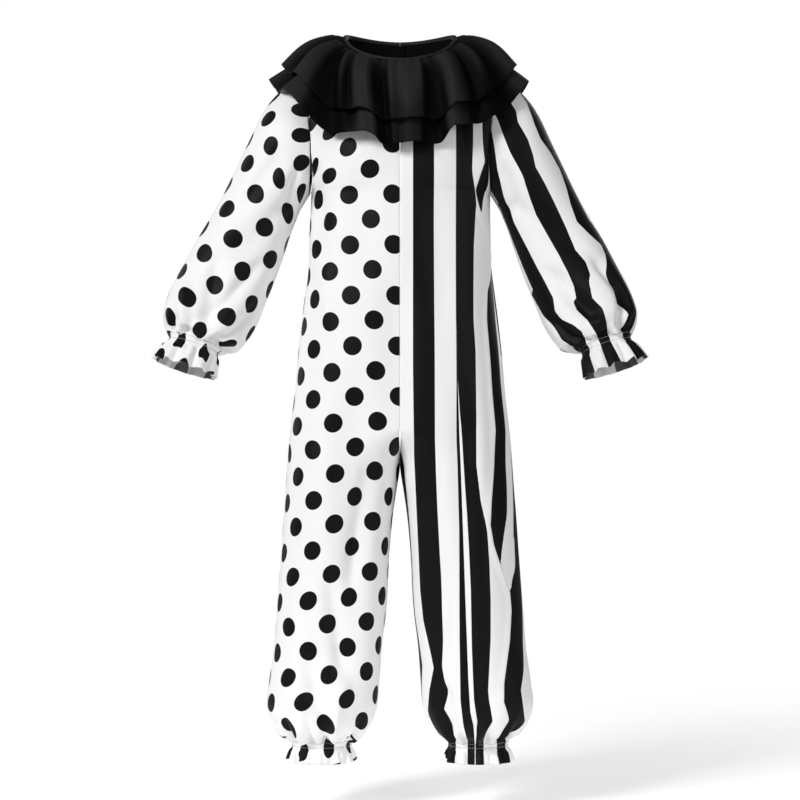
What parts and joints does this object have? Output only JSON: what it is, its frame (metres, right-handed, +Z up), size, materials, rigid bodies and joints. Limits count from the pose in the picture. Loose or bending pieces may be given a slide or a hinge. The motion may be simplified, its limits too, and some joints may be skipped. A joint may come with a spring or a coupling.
{
  "type": "clown costume",
  "caption": "Child's long-sleeved clown jumpsuit, dotted on one side and striped on the other, with a two-tier ruffle collar and elastic wrists and ankles, filled out with no wearer.",
  "frame": {"origin": "middle of the neck opening, level with the shoulders that hold the garment up", "axes": "+Z up towards the neck, -Y to the front, +X to the wearer's left"},
  "size_m": [0.6342, 0.2194, 0.9463],
  "materials": {
    "dotted_cloth": "white light satin-weave cloth printed with black dots",
    "striped_cloth": "light satin-weave cloth printed with black and white stripes",
    "ruffle_cloth": "matt black light cloth",
    "binding_cloth": "black folded binding cloth"
  },
  "bodies": {
    "root": {"front_right": "dotted_cloth", "front_left": "striped_cloth", "back_right": "dotted_cloth", "back_left": "striped_cloth", "sleeve_right": "dotted_cloth", "sleeve_left": "striped_cloth", "collar_lower": "ruffle_cloth", "collar_upper": "ruffle_cloth", "neck_binding": "binding_cloth", "neck_facing": "ruffle_cloth"}
  },
  "joints": []
}
